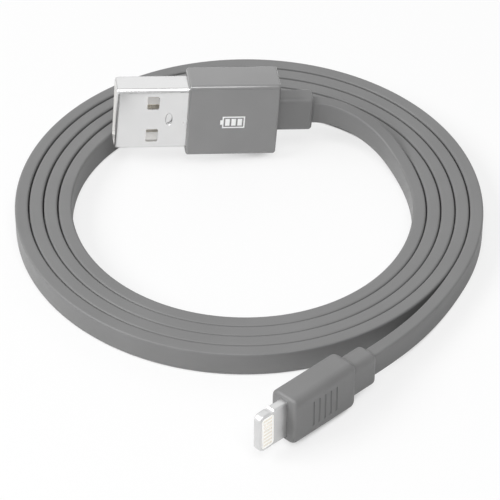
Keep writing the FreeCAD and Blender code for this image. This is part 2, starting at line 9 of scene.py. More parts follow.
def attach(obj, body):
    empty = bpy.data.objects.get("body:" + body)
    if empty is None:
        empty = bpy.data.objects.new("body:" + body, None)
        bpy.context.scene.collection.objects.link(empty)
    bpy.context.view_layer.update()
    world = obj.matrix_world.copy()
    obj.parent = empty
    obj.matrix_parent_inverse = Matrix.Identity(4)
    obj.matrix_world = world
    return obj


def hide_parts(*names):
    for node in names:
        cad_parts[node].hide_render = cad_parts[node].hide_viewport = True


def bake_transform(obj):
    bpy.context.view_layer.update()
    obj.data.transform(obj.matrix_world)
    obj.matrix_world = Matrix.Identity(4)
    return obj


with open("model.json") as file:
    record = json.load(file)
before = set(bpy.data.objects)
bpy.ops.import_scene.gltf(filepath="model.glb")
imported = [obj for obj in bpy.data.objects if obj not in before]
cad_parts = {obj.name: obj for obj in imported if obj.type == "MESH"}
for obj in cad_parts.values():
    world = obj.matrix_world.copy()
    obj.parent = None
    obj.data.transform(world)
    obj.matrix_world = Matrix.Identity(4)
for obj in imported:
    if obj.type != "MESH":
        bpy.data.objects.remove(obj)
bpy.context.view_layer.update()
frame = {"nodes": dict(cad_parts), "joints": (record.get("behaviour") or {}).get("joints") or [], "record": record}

# A flat grey charging cable, coiled on its edge. Sizes below are in millimetres and
# every mesh is scaled to metres as it is made. The origin is the coil's centre on the table.

MM = 0.001

# How finely edges are rounded, and how far cutters reach
END_STEPS = 6
CORNER_STEPS = 8
SMALLEST_R = 0.1
CORNER_SHARE = 0.8       # share of a tube's inset by which its corners get tighter
CUT_PAST = 1.0           # how far a cutter reaches past what it cuts

# Ribbon cable and its wires: height above the ribbon's middle, and radius of the insulation
CABLE_W = 4.3
CABLE_T = 2.1
SKIN_T = 2.19            # the soft jacket bulges a little past its nominal thickness
SKIN_EDGE_R = 0.36
WIRES = {
    "red": (1.40, 0.47),
    "white": (0.45, 0.35),
    "green": (-0.45, 0.35),
    "black": (-1.40, 0.47),
}
WIRE_SIDES = 16

# Coil of half-turn arcs, as in the CAD model
FAR_RADIUS = 38.4
FAR_STEP = 2.55
NEAR_RADIUS = 39.35
NEAR_STEP = 2.2
FULL_TURNS = 4
DEVICE_EXIT = -31.5
USB_EXIT = -5.0
DEVICE_LEAD_R = 76.8
DEVICE_LEAD_TURN = 20.8
LEAD_SEGMENTS = 3
COIL_OVERLAP = 4.0       # how far the bending part of each lead reaches back along the coil
COIL_STEP = 1.0
LEAD_STEP = 0.4
REACH_INTO_BOOT = 0.8
WIRES_START = 1.1        # the wires of a lead are seen only from here, past the coil's jacket
STIFF_SHARE = 0.2        # share of each piece, at both ends, meant to follow one body only; nothing bends the pieces by it

# USB plug, in its own frame: +X to the tip, +Y out of the marked face, x = 0 at the overmold's front
USB_BODY = (15.3, 6.3, 14.0)
USB_BODY_R = (0.7, 0.45, 0.45)   # along its length, round its rear, round its front
USB_BOOT = (6.1, 3.6, 6.4)
USB_BOOT_R = (0.8, 0.6)
USB_SHELL = (12.0, 4.5, 12.0)
USB_SHELL_IN = 6.5
USB_SHELL_WALL = 0.3
USB_SHELL_R = 0.75
USB_LIP = (0.4, 0.12)            # how far in the inner lip starts, and how much it narrows
USB_TIP_DRAW = [(-0.55, 0.0), (-0.38, 0.015), (-0.2, 0.07), (-0.08, 0.15), (0.0, 0.26)]
USB_WINDOW = (2.0, 2.5)
USB_WINDOW_X = 5.84
USB_WINDOW_Z = 3.25
USB_WINDOW_R = 0.28
USB_DIMPLE = (0.60, 0.29, 1.25)  # half sizes of the rounded dent between the windows
USB_DIMPLE_X = 3.1
USB_DIMPLE_OUT = 0.02
USB_SEAM = (0.08, 0.07)          # width and depth of the folded sheet's seam
USB_EDGE_R = 0.045
USB_POCKET = (1.5, 0.09)         # depth of the overmold's opening, and its gap round the shell
USB_LEAN = 3.0

# Small plug, in the same kind of frame
DEVICE_BODY = (13.6, 5.2, 8.5)
DEVICE_BODY_R = (1.4, 1.2, 0.6)
DEVICE_BOOT = (5.0, 4.0, 6.0)
DEVICE_BOOT_R = (1.2, 0.8)
DEVICE_LEAN = 3.6
DEVICE_OPENING_GAP = 0.02
BOOT_IN_BODY = 0.9               # how far a boot reaches into its overmold
BOOT_MOUTH = (1.2, 0.03)         # depth of the ribbon's opening, and its gap round the ribbon
BLADE = (5.7, 1.5, 6.7)
BLADE_TIP_R = 1.0
BLADE_EDGE_R = 0.35
BLADE_NOTCH = (0.6, 3.15, 0.3)   # radius, place along the blade, how far outside its edge
BLADE_NOTCH_SIDES = 40
BLADE_WINDOW = (2.8, 5.3, 5.6)   # rear end, front end, height
BLADE_WINDOW_R = 0.5
BLADE_ROOT = -0.6
BLADE_SIDE_STEPS = 12
BLADE_TIP_STEPS = 10
BLADE_EDGE_STEPS = 5
BLADE_BRACKET = (3.0, 3.0, 7.4)
BLADE_BRACKET_R = 0.3
BLADE_SLOT = (0.9, 5.4)          # thickness and height of the way for the inner board
BLADE_SLOT_ENDS = (-5.0, 4.3)
GRIP_GROOVES = 5
GRIP_MIDDLE = -6.4
GRIP_PITCH = 1.25
GRIP_GROOVE = (0.45, 0.18, 4.6)  # width, depth, height
GRIP_GROOVE_R = 0.15

# Battery sign on the USB plug, about its own middle
MARK_PLACE = (-7.7, -0.2)
MARK_HALF = (1.9, 1.15)
MARK_LINE = 0.22
MARK_INK = (-0.02, 0.03)         # from under the face to the top of the ink
MARK_NUB = (0.35, 0.45)          # length and half height
MARK_BARS = (-1.42, -0.38, 0.66)
MARK_BAR_W = 0.75
MARK_BAR_MARGIN = 0.48

# Lights, floor and camera, in metres. A softbox is its place, size and power.
WORLD_LIGHT = 0.29
WORLD_SHINE = 0.8        # what glossy surfaces see around them
SOFTBOXES = {
    "left_key": ((-0.94, -0.12, 0.81), (0.7, 0.6), 11.7),
    "overhead": ((0.0, -0.52, 0.98), (0.7, 0.5), 6.0),
    "backdrop": ((0.13, 0.98, 0.84), (2.0, 1.3), 3.5),
}
FLOOR_GLOW = 0.78
FLOOR_GLOW_STRENGTH = 0.95
FLOOR_REACH = 0.003      # how near a wall must be to shade the floor's glow
FLOOR_SHADED = (0.1, 0.4)   # openness at which the glow is nil, and at which it is full
FLOOR_HALF = 3.0
FLOOR_DROP = 0.0001
LENS = 201.6
SENSOR = 36.0
CLIP = (0.01, 20.0)
CAMERA_PLACE = (-0.04415, -0.34972, 0.2999)
CAMERA_AIM = (-0.00025, -0.00763, 0.0)


# ---------- frame data ----------

JOINTS = {joint["name"]: joint for joint in frame["joints"]}


def joint_place(name):
    """A joint's point, in millimetres."""
    return Vector(JOINTS[name]["pos_m"]) / MM


def plug_matrix(twist, lean, length):
    """From a plug's own frame to the row frame, both in millimetres."""
    axis = Vector(JOINTS[twist]["axis"])
    heading = math.atan2(axis.y, axis.x)
    pitch = math.asin(axis.z)
    turn = Matrix.Rotation(heading, 4, "Z") @ Matrix.Rotation(-pitch, 4, "Y")
    turn = turn @ Matrix.Rotation(math.radians(lean), 4, "X")
    return Matrix.Translation(joint_place(twist) + axis * length) @ turn


USB_REAR = USB_BODY[0] + USB_BOOT[0]
DEVICE_REAR = DEVICE_BODY[0] + DEVICE_BOOT[0]
USB_PLACE = plug_matrix("usb_plug_twist", USB_LEAN, USB_REAR)
DEVICE_PLACE = plug_matrix("device_plug_twist", DEVICE_LEAN, DEVICE_REAR)


# ---------- the cable's centreline ----------

def flat(degrees):
    """Unit vector at an angle in the floor's plane."""
    angle = math.radians(degrees)
    return Vector((math.cos(angle), math.sin(angle), 0))


def coil_arcs():
    """Plan arcs as [centre y, radius, start angle, end angle], from outside in."""
    arcs = []
    for turn in range(FULL_TURNS + 1):
        far = FAR_RADIUS - FAR_STEP * turn
        near = NEAR_RADIUS - NEAR_STEP * turn
        next_near = near - NEAR_STEP
        arcs.append([(far - near) / 2, (far + near - CABLE_T) / 2, -90.0, 90.0])
        arcs.append([(far - next_near) / 2, (far + next_near - CABLE_T) / 2, 90.0, 270.0])
    arcs.pop()
    arcs[0][2] = DEVICE_EXIT
    arcs[-1][3] = USB_EXIT
    return arcs


class Coil:
    """The coil's centreline by distance from the small plug's lead."""

    def __init__(self):
        self.arcs = coil_arcs()
        self.lengths = [arc[1] * math.radians(arc[3] - arc[2]) for arc in self.arcs]
        self.length = sum(self.lengths)

    def pose(self, distance):
        for arc, length in zip(self.arcs, self.lengths):
            if distance <= length or arc is self.arcs[-1]:
                break
            distance -= length
        centre_y, radius, start, _ = arc
        angle = start + math.degrees(distance / radius)
        point = Vector((0, centre_y, CABLE_W / 2)) + radius * flat(angle)
        return point, angle + 90


class Lead:
    """A lead's centreline by distance from the coil: plan arcs and a smooth rise."""

    def __init__(self, start, heading, bends, twist):
        self.start, self.heading, self.bends = start, heading, bends
        self.length = sum(radius * math.radians(abs(turn)) for radius, turn in bends)
        axis = Vector(JOINTS[twist]["axis"])
        self.slope_rise = axis.z / math.hypot(axis.x, axis.y) * self.length
        self.rise = joint_place(twist).z - start.z

    def pose(self, distance):
        point, heading, left = self.start.copy(), self.heading, distance
        for radius, turn in self.bends:
            step = min(left, radius * math.radians(abs(turn)))
            if radius == self.bends[-1][0]:
                step = left
            side = math.copysign(90, turn)
            centre = point + radius * flat(heading + side)
            heading += math.copysign(math.degrees(step / radius), turn)
            point = centre - radius * flat(heading + side)
            left -= step
        part = min(distance / self.length, 1.0)
        past = max(distance - self.length, 0.0)
        cubic = 4 * self.rise - self.slope_rise
        quartic = self.slope_rise - 3 * self.rise
        point.z = self.start.z + cubic * part ** 3 + quartic * part ** 4
        point.z += past * self.slope_rise / self.length
        return point, heading


def make_leads(coil):
    """The small plug's lead in one arc outwards, and the USB plug's in two arcs inwards."""
    device_start = coil.pose(0)[0]
    device = Lead(device_start, DEVICE_EXIT - 90, [(DEVICE_LEAD_R, -DEVICE_LEAD_TURN)],
                  "device_plug_twist")
    centre_y, radius = coil.arcs[-1][:2]
    boot = joint_place("usb_plug_twist")
    leave = 90 - 2 * math.degrees(math.atan((centre_y + radius - boot.y) / boot.x))
    tight = radius - boot.x / math.cos(math.radians(leave))
    usb = Lead(coil.pose(coil.length)[0], USB_EXIT + 90,
               [(radius, leave - USB_EXIT), (tight, 90 - leave)], "usb_plug_twist")
    return device, usb


COIL = Coil()
DEVICE_LEAD, USB_LEAD = make_leads(COIL)


def cable_pose(lead, distance):
    """Point and heading at a distance from the coil's end; below zero lies on the coil itself."""
    if distance >= 0:
        return lead.pose(distance)
    if lead is DEVICE_LEAD:
        point, heading = COIL.pose(-distance)
        return point, heading + 180
    return COIL.pose(COIL.length + distance)


# ---------- mesh helpers ----------

def add_object(name, mesh, body=None, material=None):
    thing = bpy.data.objects.new(name, mesh)
    bpy.context.scene.collection.objects.link(thing)
    if material:
        mesh.materials.clear()
        mesh.materials.append(material)
    if body:
        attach(thing, body)
    return thing


def rounded_profile(across, tall, radius, corner_steps=CORNER_STEPS, flat_steps=1):
    """Points (y, z) of a rounded rectangle, anticlockwise."""
    dy, dz = across / 2 - radius, tall / 2 - radius
    corners = [(dy, dz), (-dy, dz), (-dy, -dz), (dy, -dz)]
    points = []
    for quarter, (cy, cz) in enumerate(corners):
        for step in range(corner_steps + 1):
            angle = math.radians(90 * (quarter + step / corner_steps))
            points.append((cy + radius * math.cos(angle), cz + radius * math.sin(angle)))
        following = corners[(quarter + 1) % 4]
        end_angle = math.radians(90 * (quarter + 1))
        start = Vector(points[-1])
        end = Vector((following[0] + radius * math.cos(end_angle),
                      following[1] + radius * math.sin(end_angle)))
        for step in range(1, flat_steps):
            points.append(tuple(start.lerp(end, step / flat_steps)))
    return points


def tube_mesh(name, rings, closed_ends, lengths):
    """Mesh through equal rings of points, with u along the length and v round the rim."""
    count = len(rings[0])
    verts = [tuple(point * MM) for ring in rings for point in ring]
    faces = []
    for ring in range(len(rings) - 1):
        for index in range(count):
            following = (index + 1) % count
            here, there = ring * count, (ring + 1) * count
            faces.append((here + index, here + following, there + following, there + index))
    if closed_ends[0]:
        faces.append(tuple(reversed(range(count))))
    if closed_ends[1]:
        last = (len(rings) - 1) * count
        faces.append(tuple(last + index for index in range(count)))
    mesh = bpy.data.meshes.new(name)
    mesh.from_pydata(verts, [], faces)
    layer = mesh.uv_layers.new(name="along")
    for face_index in range((len(rings) - 1) * count):
        ring, index = divmod(face_index, count)
        corners = ((ring, index), (ring, index + 1), (ring + 1, index + 1), (ring + 1, index))
        for loop, (at_ring, at_index) in zip(mesh.polygons[face_index].loop_indices, corners):
            layer.data[loop].uv = (lengths[at_ring] * MM, at_index / count)
    mesh.shade_smooth()
    return mesh


def swept_rings(poses, profile, height=0.0):
    """Rings of a profile kept upright along a list of (point, heading)."""
    rings = []
    for point, heading in poses:
        left = flat(heading + 90)
        middle = point + Vector((0, 0, height))
        rings.append([middle + left * y + Vector((0, 0, z)) for y, z in profile])
    return rings


def steps_between(start, end, step):
    count = max(2, round(abs(end - start) / step))
    return [start + (end - start) * index / count for index in range(count + 1)]


def circle_profile(radius, count):
    return [(radius * math.cos(2 * math.pi * k / count), radius * math.sin(2 * math.pi * k / count))
            for k in range(count)]


# ---------- materials ----------

class Nodes:
    """Small helper for writing node materials."""

    def __init__(self, name):
        self.material = bpy.data.materials.new(name)
        self.material.use_nodes = True
        self.tree = self.material.node_tree
        self.shader = self.tree.nodes["Principled BSDF"]

    def node(self, kind, **values):
        made = self.tree.nodes.new(kind)
        for key, value in values.items():
            if key in made.inputs:
                made.inputs[key].default_value = value
            else:
                setattr(made, key, value)
        return made

    def link(self, source, target):
        self.tree.links.new(source, target)

    def noise(self, coords, scale, detail=3.0, roughness=0.5):
        made = self.node("ShaderNodeTexNoise", Scale=scale, Detail=detail, Roughness=roughness)
        self.link(coords, made.inputs["Vector"])
        return made.outputs["Fac"]

    def spread(self, source, low, high):
        """Maps noise to a range; its values lie mostly from 0.3 to 0.7."""
        made = self.node("ShaderNodeMapRange")
        made.inputs["From Min"].default_value = 0.3
        made.inputs["From Max"].default_value = 0.7
        made.inputs["To Min"].default_value = low
        made.inputs["To Max"].default_value = high
        self.link(source, made.inputs["Value"])
        return made.outputs["Result"]

    def colours(self, source, dark, light):
        """Mixes two colours by a value; 6, 7 and 2 are the colour sockets of the mix node."""
        made = self.node("ShaderNodeMix", data_type="RGBA")
        made.inputs[6].default_value = (*dark, 1)
        made.inputs[7].default_value = (*light, 1)
        self.link(source, made.inputs[0])
        return made.outputs[2]

    def bump(self, source, strength, distance, after=None):
        made = self.node("ShaderNodeBump", Strength=strength, Distance=distance)
        self.link(source, made.inputs["Height"])
        if after:
            self.link(after, made.inputs["Normal"])
        return made.outputs["Normal"]


def grey(value):
    return (value, value, value)


def moulded(name, colour, roughness, grain, depth, mottle=0.04, specular=0.5, glow=0.0):
    """Moulded or extruded plastic or elastomer: fine grain, slight mottling, uneven gloss, and an optional glow
    that is painted light.
    """
    n = Nodes(name)
    coords = n.node("ShaderNodeTexCoord").outputs["Object"]
    cloud = n.noise(coords, 180.0, 2.0)
    dark = tuple(c * (1 - mottle) for c in colour)
    light = tuple(min(1.0, c * (1 + mottle)) for c in colour)
    n.link(n.colours(n.spread(cloud, 0, 1), dark, light), n.shader.inputs["Base Color"])
    fine = n.noise(coords, grain, 4.0, 0.6)
    n.link(n.spread(fine, roughness - 0.05, roughness + 0.05), n.shader.inputs["Roughness"])
    n.link(n.bump(fine, 0.5, depth), n.shader.inputs["Normal"])
    n.shader.inputs["Specular IOR Level"].default_value = specular
    n.shader.inputs["Emission Color"].default_value = (*colour, 1)
    n.shader.inputs["Emission Strength"].default_value = glow
    return n.material


def ribbon_material(name, colour):
    """Extruded jacket: grain plus faint draw lines that run along the cable."""
    n = Nodes(name)
    coords = n.node("ShaderNodeTexCoord")
    stretch = n.node("ShaderNodeMapping")
    stretch.inputs["Scale"].default_value = (60.0, 90.0, 1.0)
    n.link(coords.outputs["UV"], stretch.inputs["Vector"])
    lines = n.noise(stretch.outputs["Vector"], 1.0, 3.0, 0.55)
    cloud = n.noise(coords.outputs["Object"], 120.0, 2.0)
    fine = n.noise(coords.outputs["Object"], 6000.0, 3.0, 0.6)
    dark = tuple(c * 0.965 for c in colour)
    light = tuple(c * 1.035 for c in colour)
    n.link(n.colours(n.spread(cloud, 0, 1), dark, light), n.shader.inputs["Base Color"])
    n.link(n.spread(fine, 0.40, 0.52), n.shader.inputs["Roughness"])
    first = n.bump(lines, 0.35, 0.00002)
    n.link(n.bump(fine, 0.4, 0.00001, first), n.shader.inputs["Normal"])
    n.shader.inputs["Specular IOR Level"].default_value = 0.4
    return n.material


def metal(name, colour, roughness, brush_scale, depth):
    """Plated sheet metal: fine brushing along X, faint smudges in the gloss."""
    n = Nodes(name)
    coords = n.node("ShaderNodeTexCoord").outputs["Object"]
    stretch = n.node("ShaderNodeMapping")
    stretch.inputs["Scale"].default_value = brush_scale
    n.link(coords, stretch.inputs["Vector"])
    brush = n.noise(stretch.outputs["Vector"], 1.0, 4.0, 0.6)
    smudge = n.noise(coords, 260.0, 3.0, 0.6)
    n.link(n.spread(smudge, roughness - 0.04, roughness + 0.06), n.shader.inputs["Roughness"])
    dark = tuple(c * 0.97 for c in colour)
    n.link(n.colours(n.spread(brush, 0, 1), dark, colour), n.shader.inputs["Base Color"])
    n.link(n.bump(brush, 0.3, depth), n.shader.inputs["Normal"])
    n.shader.inputs["Metallic"].default_value = 1.0
    return n.material


TPE = grey(0.172)
WHITE_RESIN = (0.88, 0.87, 0.85)
IVORY_RESIN = (0.92, 0.91, 0.88)
ROUND_GRAIN = (900.0, 900.0, 900.0)

# moulded: colour, roughness, grain, depth, then mottling, specular and glow where they matter; the glow is painted
# light
MOULDED = {
    "overmold": (grey(0.194), 0.17, 5000.0, 0.000004, 0.03, 1.0),
    "matte_overmold": (TPE, 0.45, 4000.0, 0.000008, 0.03),
    "inner_mold": (grey(0.72), 0.4, 2500.0, 0.000006),
    # The insulators glow a little: painted light that brightens the resin inserts where the plugs shade them.
    "white_insulator": (WHITE_RESIN, 0.35, 3000.0, 0.000004, 0.02, 0.5, 0.3),
    "ivory_insulator": (IVORY_RESIN, 0.35, 3000.0, 0.000004, 0.02, 0.5, 0.15),
    "board_green": ((0.02, 0.12, 0.05), 0.3, 2500.0, 0.000004, 0.1),
    "chip_black": (grey(0.02), 0.5, 5000.0, 0.000004, 0.1),
    "capacitor_tan": ((0.33, 0.22, 0.12), 0.45, 5000.0, 0.000004, 0.1),
    "resistor_black": (grey(0.015), 0.4, 5000.0, 0.000004, 0.1),
    "wire_insulation": (grey(0.7), 0.35, 2500.0, 0.000004),
    "red_wire": ((0.52, 0.02, 0.02), 0.35, 2500.0, 0.000004),
    "white_wire": (grey(0.8), 0.35, 2500.0, 0.000004),
    "green_wire": ((0.02, 0.25, 0.05), 0.35, 2500.0, 0.000004),
    "black_wire": (grey(0.012), 0.35, 2500.0, 0.000004),
    "white_ink": (grey(0.90), 0.45, 4000.0, 0.000003, 0.02),
}

# metal: colour, roughness, brushing scale, depth
METALS = {
    "usb_steel": (grey(0.66), 0.22, (300.0, 5000.0, 5000.0), 0.000001),
    "gold_plate": ((0.88, 0.84, 0.76), 0.30, (2000.0, 4000.0, 4000.0), 0.000001),
    "solder": (grey(0.6), 0.3, ROUND_GRAIN, 0.00001),
    "nickel_plate": (grey(0.62), 0.42, (2500.0, 2500.0, 6000.0), 0.000001),
    "tin_plate": (grey(0.62), 0.32, (900.0, 3000.0, 3000.0), 0.000003),
    "copper": ((0.86, 0.42, 0.24), 0.3, ROUND_GRAIN, 0.000004),
}

MATERIALS = {"cable_jacket": ribbon_material("cable_jacket", TPE)}
MATERIALS.update({name: moulded(name, *values) for name, values in MOULDED.items()})
MATERIALS.update({name: metal(name, *values) for name, values in METALS.items()})


def paint_cad_nodes():
    """Gives every CAD node the material of its slot."""
    for part in frame["record"]["subparts"]:
        node = frame["nodes"][part["node"]]
        node.data.materials.clear()
        node.data.materials.append(MATERIALS[part["material_slot"]])


# ---------- cable pieces ----------

JACKET_PROFILE = rounded_profile(SKIN_T, CABLE_W, SKIN_EDGE_R, corner_steps=6, flat_steps=5)


def coil_jacket():
    start, end = COIL_OVERLAP, COIL.length - COIL_OVERLAP
    places = steps_between(start, end, COIL_STEP)
    rings = swept_rings([COIL.pose(place) for place in places], JACKET_PROFILE)
    mesh = tube_mesh("coil_jacket_skin", rings, (False, False), places)
    skin = add_object("coil_jacket_skin", mesh, "coil", MATERIALS["cable_jacket"])
    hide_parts("coil_jacket")


def lead_sections(prefix, lead):
    """(piece number, bodies, start and end distance) for the four bends of a lead."""
    half = lead.length / LEAD_SEGMENTS / 2
    bodies = ["coil"] + [f"{prefix}_lead_{k + 1}" for k in range(LEAD_SEGMENTS)] + [f"{prefix}_plug"]
    sections = []
    for index in range(LEAD_SEGMENTS + 1):
        middle = 2 * half * index
        start = -COIL_OVERLAP if index == 0 else middle - half
        end = middle + (0.0 if index == LEAD_SEGMENTS else half)
        sections.append((index + 1, bodies[index], bodies[index + 1], start, end))
    return sections


def blend_piece(thing, lead, start, end):
    """Bakes a piece's transform into its mesh; the end points for bending it are worked out but not used."""
    inset = STIFF_SHARE * (end - start)
    first = cable_pose(lead, start + inset)[0] * MM
    last = cable_pose(lead, end - inset)[0] * MM
    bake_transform(thing)


def lead_pieces(prefix, lead):
    """Jacket and wires of one lead, in pieces that each span one joint."""
    for number, body_a, body_b, start, end in lead_sections(prefix, lead):
        last = number == LEAD_SEGMENTS + 1
        places = steps_between(start, end, LEAD_STEP)
        if last:
            places.append(end + REACH_INTO_BOOT)
        poses = [cable_pose(lead, place) for place in places]
        name = f"{prefix}_lead_skin_{number}"
        mesh = tube_mesh(name, swept_rings(poses, JACKET_PROFILE), (False, False), places)
        skin = add_object(name, mesh, None, MATERIALS["cable_jacket"])
        blend_piece(skin, lead, start, end)
        if number <= LEAD_SEGMENTS:
            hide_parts(f"{prefix}_lead_jacket_{number}")

        inner_places = [place for place in places if WIRES_START <= place <= lead.length]
        inner = [cable_pose(lead, place) for place in inner_places]
        for colour, (height, radius) in WIRES.items():
            name = f"{prefix}_lead_{colour}_wire_{number}"
            rings = swept_rings(inner, circle_profile(radius, WIRE_SIDES), height)
            mesh = tube_mesh(name, rings, (True, True), inner_places)
            wire = add_object(name, mesh, None, MATERIALS[colour + "_wire"])
            blend_piece(wire, lead, start, end)
            if number <= LEAD_SEGMENTS and colour == "red":
                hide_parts(f"{prefix}_lead_insulation_{number}", f"{prefix}_lead_core_{number}")


# ---------- plug meshes ----------

def bm_to_object(bm, name, place, body, slot, smooth_angle=35.0, material=None):
    """Turns a bmesh drawn in a plug's frame, in millimetres, into a riding object."""
    bmesh.ops.transform(bm, matrix=Matrix.Scale(MM, 4) @ place, verts=bm.verts)
    bmesh.ops.recalc_face_normals(bm, faces=bm.faces)
    mesh = bpy.data.meshes.new(name)
    bm.to_mesh(mesh)
    bm.free()
    mesh.shade_smooth()
    mesh.set_sharp_from_angle(angle=math.radians(smooth_angle))
    return add_object(name, mesh, body, MATERIALS[material or slot])


def rounded_block(low, high, radius=0.0, segments=5):
    """bmesh of a block with every edge rounded, or sharp where the radius is 0."""
    bm = bmesh.new()
    bmesh.ops.create_cube(bm, size=1.0)
    low, high = Vector(low), Vector(high)
    bmesh.ops.scale(bm, vec=high - low, verts=bm.verts)
    bmesh.ops.translate(bm, vec=(low + high) / 2, verts=bm.verts)
    if radius:
        bmesh.ops.bevel(bm, geom=bm.edges[:], offset=radius, segments=segments, profile=0.5,
                        affect="EDGES")
    return bm


def bm_boolean(target, cutters, operation="DIFFERENCE"):
    """Carves bmeshes out of a bmesh, or joins them to it, and returns the result."""
    def to_object(bm, name):
        mesh = bpy.data.meshes.new(name)
        bmesh.ops.recalc_face_normals(bm, faces=bm.faces)
        bm.to_mesh(mesh)
        bm.free()
        thing = bpy.data.objects.new(name, mesh)
        bpy.context.scene.collection.objects.link(thing)
        return thing

    body = to_object(target, "carve_body")
    tools = [to_object(cutter, "carve_tool") for cutter in cutters]
    for tool in tools:
        modifier = body.modifiers.new("carve", "BOOLEAN")
        modifier.object = tool
        modifier.operation = operation
        modifier.solver = "EXACT"
    evaluated = body.evaluated_get(bpy.context.evaluated_depsgraph_get())
    result = bmesh.new()
    result.from_mesh(evaluated.to_mesh())
    evaluated.to_mesh_clear()
    for thing in [body] + tools:
        mesh = thing.data
        bpy.data.objects.remove(thing)
        bpy.data.meshes.remove(mesh)
    return result


def rounded_edge(radius, steps):
    """Rounds an end edge: (depth from the end, how far the outline is drawn in), from the end inwards."""
    turns = [math.pi / 2 * (1 - step / steps) for step in range(steps + 1)]
    return [(radius * (1 - math.sin(turn)), radius * (1 - math.cos(turn))) for turn in turns]


def soft_body(low_x, high_x, across, tall, along_r, rear_r, front_r):
    """bmesh of a moulded bar along X, rounded along its length and round its ends."""
    rear = [(low_x + depth, inset) for depth, inset in rounded_edge(rear_r, END_STEPS)]
    front = [(high_x, 0.0)]
    if front_r:
        edge = reversed(rounded_edge(front_r, END_STEPS))
        front = [(high_x - depth, inset) for depth, inset in edge]
    bm = bmesh.new()
    rings = []
    for x, inset in rear + front:
        radius = max(along_r - inset, SMALLEST_R)
        profile = rounded_profile(across - 2 * inset, tall - 2 * inset, radius)
        rings.append([bm.verts.new((x, y, z)) for y, z in profile])
    join_rings(bm, rings)
    bm.faces.new(rings[0])
    bm.faces.new(rings[-1])
    return bm


def join_rings(bm, rings):
    count = len(rings[0])
    for first, second in zip(rings, rings[1:]):
        for index in range(count):
            following = (index + 1) % count
            bm.faces.new((first[index], first[following], second[following], second[index]))


def tube_bm(stations, across, tall, radius, wall, lip):
    """bmesh of a rounded rectangular tube; stations are (x, how far the outside is drawn in)."""
    bm = bmesh.new()

    def ring(x, shrink):
        inner_r = radius - CORNER_SHARE * shrink
        profile = rounded_profile(across - 2 * shrink, tall - 2 * shrink, inner_r)
        return [bm.verts.new((x, y, z)) for y, z in profile]

    outer = [ring(x, shrink) for x, shrink in stations]
    lip_depth, lip_draw = lip
    rear_x, front_x = stations[0][0], stations[-1][0]
    inner_stations = [(front_x, wall + lip_draw), (front_x - lip_depth, wall), (rear_x, wall)]
    inner = [ring(x, shrink) for x, shrink in inner_stations]
    join_rings(bm, outer + inner + [outer[0]])
    return bm


def usb_shell():
    """Folded steel sheet with windows, a dimple, a seam and a drawn-in tip."""
    length, thick, wide = USB_SHELL
    stations = [(-USB_SHELL_IN, 0.0)] + [(length + x, inset) for x, inset in USB_TIP_DRAW]
    shell = tube_bm(stations, thick, wide, USB_SHELL_R, USB_SHELL_WALL, USB_LIP)
    half_x, half_z = USB_WINDOW[0] / 2, USB_WINDOW[1] / 2
    windows = []
    for side in (-1, 1):
        z = side * USB_WINDOW_Z
        window = rounded_block((USB_WINDOW_X - half_x, -thick, z - half_z),
                               (USB_WINDOW_X + half_x, thick, z + half_z), USB_WINDOW_R, 4)
        windows.append(window)
    dimple = bmesh.new()
    bmesh.ops.create_uvsphere(dimple, u_segments=32, v_segments=20, radius=1.0)
    bmesh.ops.scale(dimple, vec=USB_DIMPLE, verts=dimple.verts)
    dimple_place = (USB_DIMPLE_X, thick / 2 + USB_DIMPLE_OUT, 0)
    bmesh.ops.translate(dimple, vec=dimple_place, verts=dimple.verts)
    seam_w, seam_d = USB_SEAM
    seam = rounded_block((-USB_SHELL_IN - CUT_PAST, -thick / 2 - CUT_PAST, -seam_w / 2),
                         (length + CUT_PAST, -thick / 2 + seam_d, seam_w / 2))
    shell = bm_boolean(shell, windows + [dimple, seam])
    piece = bm_to_object(shell, "usb_shell_sheet", USB_PLACE, "usb_plug", "usb_steel")
    soften_edges(piece, USB_EDGE_R)
    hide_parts("usb_shell")


def soften_edges(thing, width):
    bevel = thing.modifiers.new("soft_edges", "BEVEL")
    bevel.width = width * MM
    bevel.segments = 2
    bevel.limit_method = "ANGLE"
    bevel.angle_limit = math.radians(40.0)
    bevel.harden_normals = True


def usb_overmold():
    length, thick, wide = USB_BODY
    body = soft_body(-length, 0, thick, wide, *USB_BODY_R)
    depth, gap = USB_POCKET
    half_y, half_z = USB_SHELL[1] / 2 + gap, USB_SHELL[2] / 2 + gap
    pocket = rounded_block((-depth, -half_y, -half_z), (2 * CUT_PAST, half_y, half_z),
                           USB_SHELL_R + gap, 6)
    body = bm_boolean(body, [pocket])
    piece = bm_to_object(body, "usb_overmold_skin", USB_PLACE, "usb_plug", "overmold")
    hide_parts("usb_overmold")


def boot(name, node, body_length, size, radii, place, body):
    """Strain relief sleeve with soft edges and a neat opening for the ribbon."""
    length, thick, wide = size
    rear = -body_length - length
    sleeve = soft_body(rear, BOOT_IN_BODY - body_length, thick, wide, *radii, 0)
    depth, gap = BOOT_MOUTH
    half_y, half_z = SKIN_T / 2 + gap, CABLE_W / 2 + gap
    mouth = rounded_block((rear - CUT_PAST, -half_y, -half_z), (rear + depth, half_y, half_z),
                          SKIN_EDGE_R)
    sleeve = bm_boolean(sleeve, [mouth])
    piece = bm_to_object(sleeve, name, place, body, "overmold", material="matte_overmold")
    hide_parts(node)


